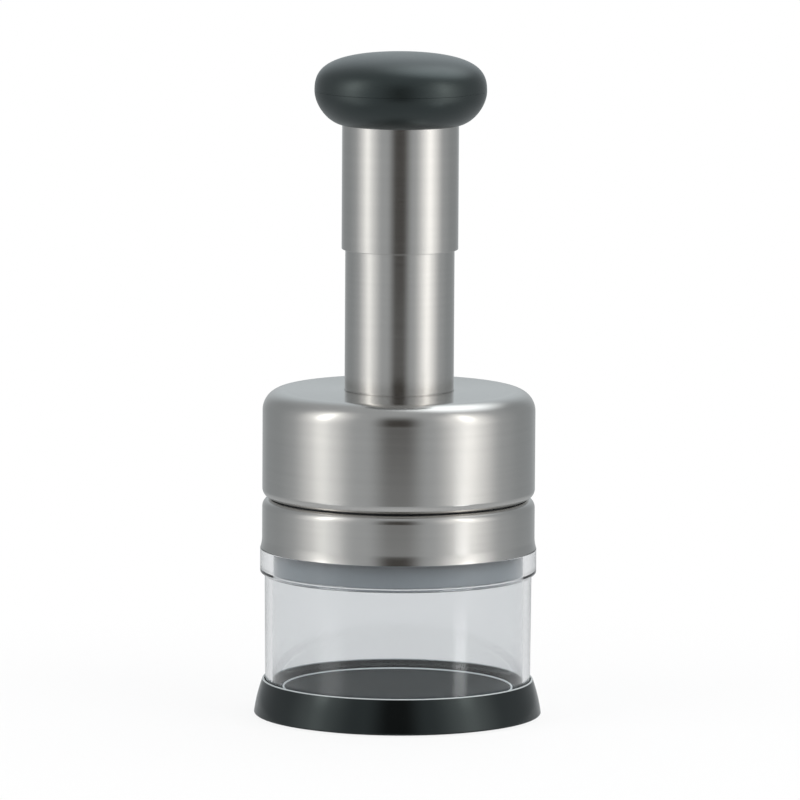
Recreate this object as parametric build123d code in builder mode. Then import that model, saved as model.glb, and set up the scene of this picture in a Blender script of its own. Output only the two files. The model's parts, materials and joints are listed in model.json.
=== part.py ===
from build123d import *

import os
from math import cos, hypot, pi, radians, sin, sqrt

os.makedirs("parts", exist_ok=True)

# Garlic chopper. The knob is pressed, and a zigzag blade comes down through a scraper into a clear jar.
# Millimetres, +Z up, origin at the middle of the base's underside.

# Clearances
slide_gap = 0.3  # handle tube over guide tube, on the radius
turn_gap = 0.3  # pieces that turn or lift past one another
shaft_gap = 0.05  # turned shaft in its bearing, on the radius
seat_gap = 0.05  # pieces fixed in one another, on the radius
stop_gap = 0.1  # return stop at rest
board_gap = 0.4  # blade edge over the board at the end of the stroke
hub_gap = 0.6  # hub over the scraper at the end of the stroke
head_room = 1.6  # knob core over the guide tube at the end of the stroke

# Base
base_flare = 2.8  # foot of the skirt beyond its lip
lip_wall = 0.6
base_height = 12.0  # table to lip
base_corner = 0.4  # round at the foot of the skirt
skirt_bulge = 0.35  # bow of the skirt's side
base_floor = 2.2
base_floor_top = 6.4  # table to the floor under the jar
foot_proud = 0.6  # rubber below the skirt
foot_width = 5.0
foot_edge = 0.5
skirt_wall = 2.8  # at the foot
rib_count = 8
rib_wall = 1.6
rib_lift = 0.8  # ribs end this much above the foot of the skirt
rib_boss_d = 12.0
board_thick = 3.6
board_sink = 0.6
board_margin = 1.6  # between the board and the jar
board_chamfer = 0.6

# Jar
jar_d = 87.2  # under the rim
jar_draft = 0.3  # on the radius, down to the foot
jar_wall = 2.6
jar_height = 49.0
rim_step = 1.5
rim_height = 8.4
rim_round = 0.7
rim_cove = 0.7
rim_round_share = 0.48  # most that either round takes of the step

# Collar
collar_inset = 0.6  # wall of the band inside the jar's rim
collar_height = 16.2
collar_flare = 0.5  # foot of the band beyond its wall
flare_height = 3.4
band_wall = 0.6
edge_round = 3.0  # rolled edges of the band and the housing
edge_turn = 78.0  # degrees of roll
groove_gap = 0.3  # between the two rolled edges
plug_depth = 8.0
plug_wall = 3.8
plug_chamfer = 0.6
ledge_thick = 1.4  # ledge that carries the scraper
ledge_reach = 2.9
flange_thick = 2.4
liner_wall = 1.8
neck_wall = 2.2
neck_gap = 0.6  # between the neck and the frame's skirt
neck_cap = 1.2  # neck above the lugs
lug_count = 3
lug_angle = 16.0
lug_height = 3.0
lug_reach = 2.0
lug_lift = 3.0  # lugs above the frame's lower edge
twist_angle = 30.0  # bayonet turn
lug_slack = 1.0  # degrees at each side of a lug

# Scraper
scraper_thick = 3.0
scraper_edge = 0.4
slot_gap = 0.35  # beside the blade, each side
retainer_wall = 2.0
retainer_height = 2.0

# Blade
blade_wall = 0.6
blade_inset = 0.6  # edge above the scraper's underside at rest
blade_margin = 2.0  # inside the edge of the hub
blade_end_angle = 25.0  # where the strip ends, round the axis from its long side
leg_count = 6
fold_round = 1.4
blade_grip = 5.4  # held in the hub
bevel_height = 1.6
bevel_depth = 0.2
turn_angle = 40.0  # blade turn in one stroke

# Blade hub
hub_side_gap = 2.3  # inside the scraper's retainer
hub_plate = 6.0
hub_boss_wall = 4.0
hub_boss = 1.2
hub_edge = 0.8
stop_thick = 1.2
drive_sides = 6
drive_step = 1.2  # corners of the hexagon inside the rod's side
drive_length = 4.0

# Rod
rod_d = 8.0
journal_step = 1.0  # journal inside the rod's side
groove_count = 3
groove_d = 2.2
groove_run = 3.0  # groove beyond the nut at each end
clip_width = 2.5  # beyond the journal
clip_thick = 1.0
clip_groove = 0.7
clip_mouth = 70.0  # degrees
rod_tip = 1.0  # rod above its clip
thrust_width = 4.5  # beyond the journal
thrust_thick = 1.0

# Housing
shell_wall = 1.0
shoulder_round = 6.8
guide_d = 35.6
guide_wall = 0.9
tube_flange_width = 6.2
tube_flange_thick = 1.3
frame_plate = 2.6
frame_wall = 2.2
frame_gap = 0.3  # frame in the shell
chamber_wall = 5.0  # round the nut
chamber_height = 12.5  # above the frame's plate
chamber_roof = 3.0
ratchet_plate = 2.0
ratchet_margin = 0.9  # bore of the ring beyond the rod's hole
tooth_count = 12
tooth_inset = 0.3  # teeth start this much outside the ring's bore
tooth_height = 1.4
tooth_gap = 0.3
tooth_share = 0.92  # tooth width against its pitch, where teeth start
nut_height = 7.2
nut_margin = 0.7  # nut in its chamber, on the radius
cover_plate = 1.8
cover_spigot = 2.3
disc_spring_wall = 0.5
disc_spring_share = 0.35  # bore of the disc spring, of the way from the rod's hole to its rim

# Screws
frame_screw_d = 3.0
cover_screw_d = 2.0
cover_screw_bite = 8.0
hub_screw_d = 3.0
hub_screw_bite = 9.0
hub_washer_lap = 0.6  # beyond the hexagon
hub_washer_thick = 0.5
screw_count = 3
cover_screw_start = 180 / screw_count  # degrees, midway between the frame screws
head_ratio = 1.8  # head over shank
head_height_ratio = 0.6  # head over shank
head_bevel_ratio = 0.33  # of the head's height
recess_width_ratio = 0.25  # of the head's radius
recess_depth_ratio = 0.5  # of the head's height

# Handle
handle_wall = 0.9
handle_margin = 6.5  # handle over the housing at the end of the stroke
guide_overlap = 13.0  # guide tube in the handle at rest
tube_edge = 0.3
bush_wall = 2.3
bush_length = 7.0
bush_rim = 1.0

# Spring
spring_gap = 1.3  # between the spring and the bush
wire_d = 1.6
spring_turns = 9
spring_end_gap = 0.5  # between the end turns
spring_seat_thick = 1.0
seat_wall = 1.2
seat_collar = 3.4
seat_margin = 0.8  # seat collar in the spring, on the radius

# Knob
knob_grip = 7.0  # side of the knob beyond the core
knob_drop = 11.0  # underside to seam
knob_rise = 12.3  # seam to top
knob_wall = 2.3
knob_land = 0.6
knob_socket = 13.5  # handle tube in the knob
knob_shelf = 2.4  # underside to core
knob_seam = 0.12
dome_side_share = 0.5  # how far the dome's side stays upright, of its height
dome_crown_share = 0.92  # how far its crown stays level, of its radius
belly_side_share = 0.4  # how far the lower side stays upright, of its height
belly_foot_share = 0.1  # how steeply the lower side runs out, of its height
belly_neck_share = 0.55  # the same, of its overhang
snap_wall = 1.6
snap_depth = 2.4
snap_gap = 0.1
snap_margin = 2.4  # snap ring from the knob's side
core_wall = 2.0
core_plate = 3.0
core_pin_count = 3
core_pin_d = 2.5
core_pin_height = 4.8  # above the core's lower edge
press_ring_inset = 4.0  # inside the core's side
press_ring_wall = 3.0

# Radii
jar_r = jar_d / 2
jar_foot_r = jar_r - jar_draft
jar_bore_r = jar_foot_r - jar_wall + jar_draft
rim_r = jar_r + rim_step
lip_bore_r = jar_foot_r + turn_gap
lip_r = lip_bore_r + lip_wall
base_r = lip_r + base_flare
skirt_bore_r = base_r - skirt_wall
foot_bore_r = skirt_bore_r - foot_width
board_r = jar_bore_r - board_margin
collar_r = rim_r - collar_inset
housing_r = collar_r
plug_r = jar_bore_r - turn_gap
plug_bore_r = plug_r - plug_wall
ledge_r = plug_bore_r - ledge_reach
liner_r = collar_r - band_wall - seat_gap
liner_bore_r = liner_r - liner_wall
frame_r = housing_r - shell_wall - frame_gap
frame_bore_r = frame_r - frame_wall
neck_r = frame_bore_r - neck_gap
neck_bore_r = neck_r - neck_wall
scraper_r = plug_bore_r - turn_gap
retainer_r = plug_bore_r - seat_gap
hub_r = retainer_r - retainer_wall - hub_side_gap
blade_reach = hub_r - blade_margin
blade_span = 2 * blade_reach * cos(radians(blade_end_angle))
guide_r = guide_d / 2
guide_bore_r = guide_r - guide_wall
tube_flange_r = guide_r + tube_flange_width
frame_screw_r = guide_r + tube_flange_width / 2
handle_bore_r = guide_r + slide_gap
handle_r = handle_bore_r + handle_wall
boss_r = guide_bore_r - frame_gap
chamber_r = boss_r - chamber_wall
cover_screw_r = boss_r - chamber_wall / 2
nut_r = chamber_r - nut_margin
rod_r = rod_d / 2
rod_hole_r = rod_r + turn_gap
ratchet_bore_r = rod_hole_r + ratchet_margin
tooth_inner_r = ratchet_bore_r + tooth_inset
hub_boss_r = rod_r + hub_boss_wall
drive_r = rod_r - drive_step
hub_washer_r = drive_r + hub_washer_lap
journal_r = rod_r - journal_step
clip_r = journal_r + clip_width
clip_bore_r = journal_r - clip_groove
thrust_r = journal_r + thrust_width
bush_r = guide_bore_r - seat_gap
bush_bore_r = bush_r - bush_wall
spring_outer_r = bush_bore_r - spring_gap
spring_r = spring_outer_r - wire_d / 2
seat_collar_r = spring_r - wire_d / 2 - seat_margin
core_bore_r = handle_r + seat_gap
core_r = core_bore_r + core_wall
press_r = core_r - press_ring_inset
knob_r = core_r + knob_grip
snap_r = knob_r - snap_margin
cavity_r = snap_r - snap_wall
land_r = handle_r + seat_gap + knob_land

# Heights, from the table up
floor_bottom = base_floor_top - base_floor
board_bottom = base_floor_top - board_sink
rib_bottom = foot_proud + rib_lift
board_top = board_bottom + board_thick
jar_top = base_floor_top + jar_height
rim_bottom = jar_top - rim_height
plug_bottom = jar_top - plug_depth
scraper_bottom = plug_bottom + ledge_thick
scraper_top = scraper_bottom + scraper_thick
blade_bottom = scraper_bottom + blade_inset
stroke = blade_bottom - board_top - board_gap
flange_top = jar_top + flange_thick
collar_top = jar_top + collar_height
edge_rise = edge_round * sin(radians(edge_turn))
band_roll = collar_top - edge_rise
housing_bottom = collar_top + groove_gap
housing_roll = housing_bottom + edge_rise
lug_bottom = housing_roll + lug_lift
lug_top = lug_bottom + lug_height
neck_top = lug_top + neck_cap
hub_bottom = scraper_top + hub_gap + stroke
hub_top = hub_bottom + hub_plate
boss_top = hub_top + hub_boss
cover_bottom = boss_top + stop_thick + stop_gap
frame_bottom = cover_bottom + cover_plate
frame_top = frame_bottom + frame_plate
tube_flange_top = frame_top + tube_flange_thick
housing_top = tube_flange_top + shell_wall
chamber_top = frame_top + chamber_height
chamber_cap = chamber_top + chamber_roof
ratchet_face = chamber_top - ratchet_plate
nut_top = ratchet_face - tooth_height - tooth_gap
nut_bottom = nut_top - nut_height
spigot_top = frame_bottom + cover_spigot
handle_bottom = housing_top + stroke + handle_margin
guide_top = handle_bottom + guide_overlap
handle_top = guide_top + stroke + head_room
core_top = handle_top + core_plate
knob_bottom = handle_top - knob_socket
core_bottom = knob_bottom + knob_shelf
seam_height = knob_bottom + knob_drop
knob_top_height = seam_height + knob_rise
rod_shoulder = handle_top - thrust_thick
rod_top = core_top + clip_thick + rod_tip
spring_bottom = chamber_cap + spring_seat_thick
spring_top = handle_top - spring_seat_thick
turn_rate = turn_angle / stroke  # degrees for each millimetre of travel


# Closed outline of (radius, height) points on an upright plane through the axis
def half_outline(*points, plane=Plane.XZ):
    with BuildSketch(plane) as outline:
        with BuildLine():
            Polyline(*points, close=True)
        make_face()
    return outline.sketch


# Rectangle between two radii and two heights
def ring_outline(inner, outer, bottom, top, plane=Plane.XZ):
    corners = ((inner, bottom), (outer, bottom), (outer, top), (inner, top))
    return half_outline(*corners, plane=plane)


# Upright plane through the axis, turned round it by an angle in degrees
def upright(angle):
    across = Vector(1, 0, 0).rotate(Axis.Z, angle)
    facing = Vector(0, -1, 0).rotate(Axis.Z, angle)
    return Plane((0, 0, 0), x_dir=across, z_dir=facing)


# Round bar with grooves that wind with the blade's turn
def grooved_bar(radius, groove_radius, bottom, length):
    start = -turn_rate * bottom
    with BuildSketch(Plane.XY.offset(bottom)) as section:
        Circle(radius)
        with PolarLocations(rod_r, groove_count, start_angle=start):
            Circle(groove_radius, mode=Mode.SUBTRACT)
    return Solid.extrude_linear_with_rotation(
        section.sketch.face(), (0, 0, bottom), (0, 0, length), -turn_rate * length
    )


# Pan head screws on a circle, heads down, with crossed recesses
def pan_screws(ring_radius, count, shank_d, seat, bite, start):
    head_r = shank_d * head_ratio / 2
    head = shank_d * head_height_ratio
    with BuildPart() as screws:
        with BuildSketch(Plane.XY.offset(seat - head)):
            with PolarLocations(ring_radius, count, start_angle=start):
                Circle(head_r)
        extrude(amount=head)
        chamfer(screws.edges().group_by(Axis.Z)[0], length=head_bevel_ratio * head)
        with BuildSketch(Plane.XY.offset(seat)):
            with PolarLocations(ring_radius, count, start_angle=start):
                Circle(shank_d / 2)
        extrude(amount=bite)
        with BuildSketch(Plane.XY.offset(seat - head)):
            with PolarLocations(ring_radius, count, start_angle=start):
                Rectangle(head_r, recess_width_ratio * head_r)
                Rectangle(recess_width_ratio * head_r, head_r)
        extrude(amount=recess_depth_ratio * head, mode=Mode.SUBTRACT)
    return screws.part


# Fold line of the blade, seen from above
def fold_line():
    pitch = blade_span / leg_count
    leg = hypot(pitch, 2 * blade_reach)
    overshoot = fold_round * (leg / pitch - 1)
    points = []
    for fold in range(leg_count + 1):
        across = fold * pitch - blade_span / 2
        side = 1 if fold % 2 else -1
        along = sqrt(blade_reach**2 - across**2) - blade_wall
        inner = 0 < fold < leg_count
        points.append((across, side * (along + overshoot if inner else along)))
    with BuildLine() as line:
        FilletPolyline(*points, radius=fold_round)
    return line.line


blade_line = fold_line()


def save(piece, label):
    piece.label = label
    export_step(piece, f"parts/{label}.step")


# Base cup
with BuildPart() as base_cup:
    with BuildSketch(Plane.XZ):
        with BuildLine():
            foot_edge_line = Line((skirt_bore_r, foot_proud), (base_r - base_corner, foot_proud))
            corner = TangentArc(
                foot_edge_line @ 1, (base_r, foot_proud + base_corner), tangent=foot_edge_line % 1
            )
            SagittaArc(corner @ 1, (lip_r, base_height), -skirt_bulge)
            Polyline(
                (lip_r, base_height),
                (lip_bore_r, base_height),
                (lip_bore_r, base_floor_top),
                (board_r + seat_gap, base_floor_top),
                (board_r + seat_gap, board_bottom),
                (0, board_bottom),
                (0, floor_bottom),
                (skirt_bore_r, floor_bottom),
                (skirt_bore_r, foot_proud),
            )
        make_face()
    revolve(axis=Axis.Z)
    with BuildSketch(Plane.XY.offset(rib_bottom)):
        Circle(foot_bore_r)
        Circle(foot_bore_r - rib_wall, mode=Mode.SUBTRACT)
        Circle(rib_boss_d / 2)
        with PolarLocations(0, rib_count):
            Rectangle(foot_bore_r - rib_wall / 2, rib_wall, align=(Align.MIN, Align.CENTER))
    extrude(amount=floor_bottom - rib_bottom)
save(base_cup.part, "base_cup")

# Rubber ring under the base
with BuildPart() as foot_ring:
    revolve(ring_outline(foot_bore_r + seat_gap, skirt_bore_r - seat_gap, 0, floor_bottom), axis=Axis.Z)
    chamfer(foot_ring.edges().group_by(Axis.Z)[0], length=foot_edge)
save(foot_ring.part, "foot_ring")

# Board that the blade chops on
with BuildPart() as chopping_board:
    revolve(ring_outline(0, board_r, board_bottom, board_top), axis=Axis.Z)
    chamfer(chopping_board.edges().group_by(Axis.Z)[-1], length=board_chamfer)
save(chopping_board.part, "chopping_board")

# Clear jar
step_limit = rim_round_share * rim_step
cove_size = min(rim_cove, step_limit)
round_size = min(rim_round, step_limit)
with BuildPart() as jar:
    with BuildSketch(Plane.XZ):
        with BuildLine():
            wall = Line((jar_foot_r, base_floor_top), (jar_r, rim_bottom - cove_size))
            cove = TangentArc(wall @ 1, (jar_r + cove_size, rim_bottom), tangent=(0, 1))
            under = Line(cove @ 1, (rim_r - round_size, rim_bottom))
            TangentArc(under @ 1, (rim_r, rim_bottom + round_size), tangent=(1, 0))
            Polyline(
                (rim_r, rim_bottom + round_size),
                (rim_r, jar_top),
                (jar_bore_r, jar_top),
                (jar_bore_r, base_floor_top),
                (jar_foot_r, base_floor_top),
            )
        make_face()
    revolve(axis=Axis.Z)
save(jar.part, "jar")

# Steel band of the collar
with BuildPart() as collar_band:
    with BuildSketch(Plane.XZ):
        with BuildLine():
            flare = TangentArc(
                (collar_r, jar_top + flare_height), (collar_r + collar_flare, jar_top), tangent=(0, -1)
            )
            Line(flare @ 0, (collar_r, band_roll))
            CenterArc((collar_r - edge_round, band_roll), edge_round, 0, edge_turn)
            offset(amount=band_wall, side=Side.RIGHT)
        make_face()
    revolve(axis=Axis.Z)
    split(bisect_by=Plane.XY.offset(jar_top), keep=Keep.TOP)
save(collar_band.part, "collar_band")

# Plastic liner of the collar, with the plug that fits the jar and the bayonet lugs
with BuildPart() as collar_liner:
    liner_half = half_outline(
        (ledge_r, plug_bottom),
        (plug_r - plug_chamfer, plug_bottom),
        (plug_r, plug_bottom + plug_chamfer),
        (plug_r, jar_top),
        (liner_r, jar_top),
        (liner_r, band_roll),
        (liner_bore_r, band_roll),
        (liner_bore_r, flange_top),
        (neck_r, flange_top),
        (neck_r, neck_top),
        (neck_bore_r, neck_top),
        (neck_bore_r, flange_top),
        (plug_bore_r, flange_top),
        (plug_bore_r, scraper_bottom),
        (ledge_r, scraper_bottom),
    )
    revolve(liner_half, axis=Axis.Z)
    for lug in range(lug_count):
        lug_start = lug * 360 / lug_count - lug_angle / 2
        lug_half = ring_outline(
            neck_bore_r + neck_wall / 2, neck_r + lug_reach, lug_bottom, lug_top, upright(lug_start)
        )
        revolve(lug_half, axis=Axis.Z, revolution_arc=lug_angle)
save(collar_liner.part, "collar_liner")

# Scraper that wipes the blade
with BuildPart() as scraper:
    revolve(ring_outline(0, scraper_r, scraper_bottom, scraper_top), axis=Axis.Z)
    chamfer(scraper.edges(), length=scraper_edge)
    with BuildSketch(Plane.XY.offset(scraper_bottom)):
        trace(blade_line, line_width=blade_wall + 2 * slot_gap)
        with Locations(blade_line @ 0, blade_line @ 1):
            Circle(blade_wall / 2 + slot_gap)
    extrude(amount=scraper_thick, mode=Mode.SUBTRACT)
save(scraper.part, "scraper")

# Ring that keeps the scraper down
retainer_bottom = scraper_top + turn_gap
with BuildPart() as scraper_retainer:
    retainer_half = ring_outline(
        retainer_r - retainer_wall, retainer_r, retainer_bottom, retainer_bottom + retainer_height
    )
    revolve(retainer_half, axis=Axis.Z)
save(scraper_retainer.part, "scraper_retainer")

# Zigzag blade, ground along its lower edge
with BuildPart() as blade:
    with BuildSketch(Plane.XY.offset(blade_bottom)):
        trace(blade_line, line_width=blade_wall)
    extrude(amount=hub_bottom + blade_grip - blade_bottom)
    ground_face = blade.faces().sort_by(Axis.Z)[0]
    ground_edges = ground_face.edges().filter_by(lambda edge: edge.length > 2 * blade_wall)
    chamfer(ground_edges, length=bevel_depth, length2=bevel_height, reference=ground_face)
save(blade.part, "blade")

# Hub that grips the blade, on the rod's hexagon
hub_seat = boss_top - drive_length - hub_washer_thick
hub_well = hub_seat - hub_bottom
with BuildPart() as blade_hub:
    revolve(ring_outline(0, hub_r, hub_bottom, hub_top), axis=Axis.Z)
    chamfer(blade_hub.edges().group_by(Axis.Z)[-1], length=hub_edge)
    with BuildSketch(Plane.XY.offset(hub_top)):
        Circle(hub_boss_r)
    extrude(amount=hub_boss)
    with BuildSketch(Plane.XY.offset(hub_bottom)):
        trace(blade_line, line_width=blade_wall + 2 * seat_gap)
        with Locations(blade_line @ 0, blade_line @ 1):
            Circle(blade_wall / 2 + seat_gap)
    extrude(amount=blade_grip + seat_gap, mode=Mode.SUBTRACT)
    with BuildSketch(Plane.XY.offset(hub_bottom)):
        Circle(hub_washer_r + seat_gap)
    extrude(amount=hub_well + hub_washer_thick, mode=Mode.SUBTRACT)
    with BuildSketch(Plane.XY.offset(hub_bottom)):
        RegularPolygon(drive_r + seat_gap, drive_sides)
    extrude(amount=boss_top - hub_bottom, mode=Mode.SUBTRACT)
save(blade_hub.part, "blade_hub")

# Washer and screw that hold the hub to the rod
with BuildPart() as hub_washer:
    washer_half = ring_outline(
        hub_screw_d / 2 + seat_gap, hub_washer_r, hub_seat, hub_seat + hub_washer_thick
    )
    revolve(washer_half, axis=Axis.Z)
save(hub_washer.part, "hub_washer")

hub_screw = pan_screws(0, 1, hub_screw_d, hub_seat, hub_washer_thick + hub_screw_bite, 0)
save(hub_screw, "hub_screw")

# Rubber ring that ends the return stroke
with BuildPart() as stop_washer:
    stop_half = ring_outline(rod_r + seat_gap, hub_boss_r, boss_top, boss_top + stop_thick)
    revolve(stop_half, axis=Axis.Z)
save(stop_washer.part, "stop_washer")

# Rod with spiral grooves, a hexagon below and a journal above
groove_bottom = nut_bottom - groove_run
groove_top = nut_top + stroke + groove_run
clip_bottom = core_top
clip_top = clip_bottom + clip_thick
spiral = grooved_bar(rod_r, groove_d / 2, groove_bottom, groove_top - groove_bottom)
with BuildPart() as blade_rod:
    add(spiral)
    revolve(ring_outline(0, rod_r, boss_top, groove_bottom), axis=Axis.Z)
    revolve(ring_outline(0, rod_r, groove_top, rod_shoulder), axis=Axis.Z)
    revolve(ring_outline(0, journal_r, rod_shoulder, rod_top), axis=Axis.Z)
    clip_neck = ring_outline(clip_bore_r, rod_r, clip_bottom, clip_top)
    revolve(clip_neck, axis=Axis.Z, mode=Mode.SUBTRACT)
    with BuildSketch(Plane.XY.offset(boss_top - drive_length)):
        RegularPolygon(drive_r, drive_sides)
    extrude(amount=drive_length)
    with BuildSketch(Plane.XY.offset(boss_top - drive_length)):
        Circle(hub_screw_d / 2 + seat_gap)
    extrude(amount=hub_screw_bite + seat_gap, mode=Mode.SUBTRACT)
save(blade_rod.part, "blade_rod")

# Open clip in the rod's neck
with BuildPart() as rod_clip:
    clip_half = ring_outline(
        clip_bore_r + seat_gap, clip_r, clip_bottom, clip_top, upright(clip_mouth / 2)
    )
    revolve(clip_half, axis=Axis.Z, revolution_arc=360 - clip_mouth)
save(rod_clip.part, "rod_clip")

# Washer between the rod's shoulder and the knob core
with BuildPart() as thrust_washer:
    thrust_half = ring_outline(journal_r + shaft_gap, thrust_r, rod_shoulder, handle_top)
    revolve(thrust_half, axis=Axis.Z)
save(thrust_washer.part, "thrust_washer")

# Drawn steel housing
with BuildPart() as housing_shell:
    with BuildSketch(Plane.XZ):
        with BuildLine():
            crown = Line((guide_r + seat_gap, housing_top), (housing_r - shoulder_round, housing_top))
            shoulder = TangentArc(
                crown @ 1, (housing_r, housing_top - shoulder_round), tangent=crown % 1
            )
            Line(shoulder @ 1, (housing_r, housing_roll))
            CenterArc((housing_r - edge_round, housing_roll), edge_round, 0, -edge_turn)
            offset(amount=shell_wall, side=Side.RIGHT)
        make_face()
    revolve(axis=Axis.Z)
save(housing_shell.part, "housing_shell")

# Guide tube and the flange welded round its foot
guide_tube_top = guide_top - bush_rim
with BuildPart() as guide_tube:
    revolve(ring_outline(guide_bore_r, guide_r, frame_top, guide_tube_top), axis=Axis.Z)
save(guide_tube.part, "guide_tube")

with BuildPart() as tube_flange:
    flange_half = ring_outline(guide_r + seat_gap, tube_flange_r, frame_top, tube_flange_top)
    revolve(flange_half, axis=Axis.Z)
    with Locations(Plane.XY.offset(tube_flange_top)):
        with PolarLocations(frame_screw_r, screw_count):
            Hole(frame_screw_d / 2 + seat_gap)
save(tube_flange.part, "tube_flange")

# Frame in the housing: chamber for the nut, plate, and skirt with bayonet slots
shoulder_low = housing_top - shoulder_round
shoulder_bore = shoulder_round - shell_wall
plate_reach = sqrt(shoulder_bore**2 - (frame_top - shoulder_low) ** 2)
plate_r = housing_r - shoulder_round + plate_reach - frame_gap
with BuildPart() as inner_frame:
    frame_half = half_outline(
        (chamber_r, frame_bottom),
        (frame_bore_r, frame_bottom),
        (frame_bore_r, housing_roll),
        (frame_r, housing_roll),
        (frame_r, shoulder_low),
        (plate_r, frame_top),
        (boss_r, frame_top),
        (boss_r, chamber_cap),
        (rod_hole_r, chamber_cap),
        (rod_hole_r, chamber_top),
        (chamber_r, chamber_top),
    )
    revolve(frame_half, axis=Axis.Z)
    slot_start = lug_angle / 2 + lug_slack
    for lug in range(lug_count):
        locked = lug * 360 / lug_count + slot_start
        travel = ring_outline(
            frame_bore_r - turn_gap, frame_r + turn_gap, lug_bottom - turn_gap, lug_top, upright(locked)
        )
        revolve(travel, axis=Axis.Z, revolution_arc=-twist_angle - 2 * slot_start, mode=Mode.SUBTRACT)
        entry = ring_outline(
            frame_bore_r - turn_gap,
            frame_r + turn_gap,
            housing_roll - turn_gap,
            lug_top,
            upright(locked - twist_angle),
        )
        revolve(entry, axis=Axis.Z, revolution_arc=-2 * slot_start, mode=Mode.SUBTRACT)
    with BuildSketch(Plane.XY.offset(frame_bottom)):
        with PolarLocations(frame_screw_r, screw_count):
            Circle(frame_screw_d / 2 + seat_gap)
    extrude(amount=frame_plate, mode=Mode.SUBTRACT)
    with BuildSketch(Plane.XY.offset(frame_bottom)):
        with PolarLocations(cover_screw_r, screw_count, start_angle=cover_screw_start):
            Circle(cover_screw_d / 2 + seat_gap)
    extrude(amount=cover_screw_bite + seat_gap, mode=Mode.SUBTRACT)
save(inner_frame.part, "inner_frame")

frame_screw_bite = frame_plate + tube_flange_thick - seat_gap
frame_screws = pan_screws(
    frame_screw_r, screw_count, frame_screw_d, frame_bottom, frame_screw_bite, 0
)
save(frame_screws, "frame_screws")

# Ratchet above the nut: saw teeth face down on the ring and up on the nut
tooth_width = tooth_share * 2 * pi * tooth_inner_r / tooth_count
tooth_length = nut_r - tooth_inner_r


# One saw tooth on the plane across a radius, from its low to its high corner
def saw_tooth(angle, base, tip, lean):
    outward = Vector(1, 0, 0).rotate(Axis.Z, angle)
    round_axis = Vector(0, 1, 0).rotate(Axis.Z, angle)
    face = Plane(outward * tooth_inner_r, x_dir=round_axis, z_dir=outward)
    with BuildSketch(face) as tooth:
        with BuildLine():
            Polyline(
                (-tooth_width / 2, base), (tooth_width / 2, base), (lean * tooth_width / 2, tip), close=True
            )
        make_face()
    return tooth.sketch


with BuildPart() as ratchet_ring:
    revolve(ring_outline(ratchet_bore_r, chamber_r - seat_gap, ratchet_face, chamber_top), axis=Axis.Z)
    for tooth in range(tooth_count):
        tooth_turn = tooth * 360 / tooth_count
        extrude(saw_tooth(tooth_turn, ratchet_face, ratchet_face - tooth_height, -1), amount=tooth_length)
save(ratchet_ring.part, "ratchet_ring")

nut_bore = grooved_bar(
    rod_hole_r, groove_d / 2 - turn_gap, nut_bottom - groove_run / 2, nut_height + tooth_height + groove_run
)
with BuildPart() as drive_nut:
    revolve(ring_outline(0, nut_r, nut_bottom, nut_top), axis=Axis.Z)
    for tooth in range(tooth_count):
        tooth_turn = tooth * 360 / tooth_count
        extrude(saw_tooth(tooth_turn, nut_top, nut_top + tooth_height, 1), amount=tooth_length)
    add(nut_bore, mode=Mode.SUBTRACT)
save(drive_nut.part, "drive_nut")

# Disc spring under the nut
with BuildPart() as nut_spring:
    rise = nut_bottom - spigot_top - disc_spring_wall
    spring_outer = nut_r - seat_gap
    spring_inner = rod_hole_r + disc_spring_share * (spring_outer - rod_hole_r)
    disc_half = half_outline(
        (spring_outer, spigot_top),
        (spring_outer, spigot_top + disc_spring_wall),
        (spring_inner, spigot_top + rise + disc_spring_wall),
        (spring_inner, spigot_top + rise),
    )
    revolve(disc_half, axis=Axis.Z)
save(nut_spring.part, "nut_spring")

# Cover of the nut's chamber and its screws
with BuildPart() as nut_cover:
    cover_half = half_outline(
        (rod_hole_r, cover_bottom),
        (boss_r, cover_bottom),
        (boss_r, frame_bottom),
        (chamber_r - seat_gap, frame_bottom),
        (chamber_r - seat_gap, spigot_top),
        (rod_hole_r, spigot_top),
    )
    revolve(cover_half, axis=Axis.Z)
    with BuildSketch(Plane.XY.offset(cover_bottom)):
        with PolarLocations(cover_screw_r, screw_count, start_angle=cover_screw_start):
            Circle(cover_screw_d / 2 + seat_gap)
    extrude(amount=cover_plate, mode=Mode.SUBTRACT)
save(nut_cover.part, "nut_cover")

cover_screws = pan_screws(
    cover_screw_r,
    screw_count,
    cover_screw_d,
    cover_bottom,
    cover_plate + cover_screw_bite,
    cover_screw_start,
)
save(cover_screws, "cover_screws")

# Bush in the top of the guide tube
with BuildPart() as guide_bush:
    bush_half = half_outline(
        (bush_bore_r, guide_tube_top - bush_length),
        (bush_r, guide_tube_top - bush_length),
        (bush_r, guide_tube_top),
        (guide_r, guide_tube_top),
        (guide_r, guide_top),
        (bush_bore_r, guide_top),
    )
    revolve(bush_half, axis=Axis.Z)
save(guide_bush.part, "guide_bush")

# Spring seats
with BuildPart() as spring_seat:
    seat_half = half_outline(
        (rod_hole_r, chamber_cap),
        (spring_outer_r, chamber_cap),
        (spring_outer_r, spring_bottom),
        (seat_collar_r, spring_bottom),
        (seat_collar_r, spring_bottom + seat_collar),
        (seat_collar_r - seat_wall, spring_bottom + seat_collar),
        (seat_collar_r - seat_wall, spring_bottom),
        (rod_hole_r, spring_bottom),
    )
    revolve(seat_half, axis=Axis.Z)
save(spring_seat.part, "spring_seat")

with BuildPart() as upper_spring_seat:
    upper_half = half_outline(
        (thrust_r + seat_gap, handle_top),
        (spring_outer_r, handle_top),
        (spring_outer_r, spring_top),
        (seat_collar_r, spring_top),
        (seat_collar_r, spring_top - seat_collar),
        (seat_collar_r - seat_wall, spring_top - seat_collar),
        (seat_collar_r - seat_wall, spring_top),
        (thrust_r + seat_gap, spring_top),
    )
    revolve(upper_half, axis=Axis.Z)
save(upper_spring_seat.part, "upper_spring_seat")

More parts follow.
